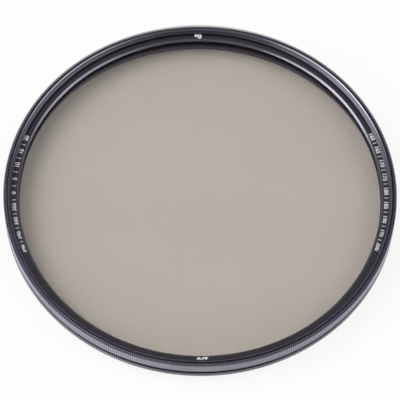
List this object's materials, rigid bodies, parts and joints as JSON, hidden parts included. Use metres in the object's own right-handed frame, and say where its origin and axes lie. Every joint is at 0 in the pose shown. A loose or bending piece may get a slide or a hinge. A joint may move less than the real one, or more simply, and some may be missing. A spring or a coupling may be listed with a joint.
{
  "type": "circular polarising lens filter",
  "caption": "Screw-in circular polarising filter for a camera lens: a knurled front ring with a tinted glass laminate turns on a slim threaded mount ring.",
  "frame": {"origin": "on the optical axis at the end face of the lens thread, which the filter rests on", "axes": "+Z along the optical axis, from the lens towards the subject; X and Y are free about it"},
  "size_m": [0.098, 0.098, 0.008],
  "materials": {
    "black_anodised_aluminium": "turned aluminium, bead blasted and anodised satin black",
    "coated_glass": "clear optical glass, polished, with an anti-reflection coating",
    "polarising_film": "neutral warm grey see-through film",
    "retarder_film": "clear film",
    "spring_steel": "drawn square spring wire, lightly greased"
  },
  "bodies": {
    "mount": {"mount_ring": "black_anodised_aluminium", "snap_ring": "spring_steel"},
    "front": {"front_ring": "black_anodised_aluminium", "retaining_ring": "black_anodised_aluminium", "front_glass": "coated_glass", "polarising_film": "polarising_film", "quarter_wave_film": "retarder_film", "rear_glass": "coated_glass"}
  },
  "joints": [
    {"name": "front_turn", "type": "hinge", "parent": "mount", "child": "front", "pos_m": [0, 0, 0.0034], "axis": [0, 0, 1], "continuous": true}
  ]
}
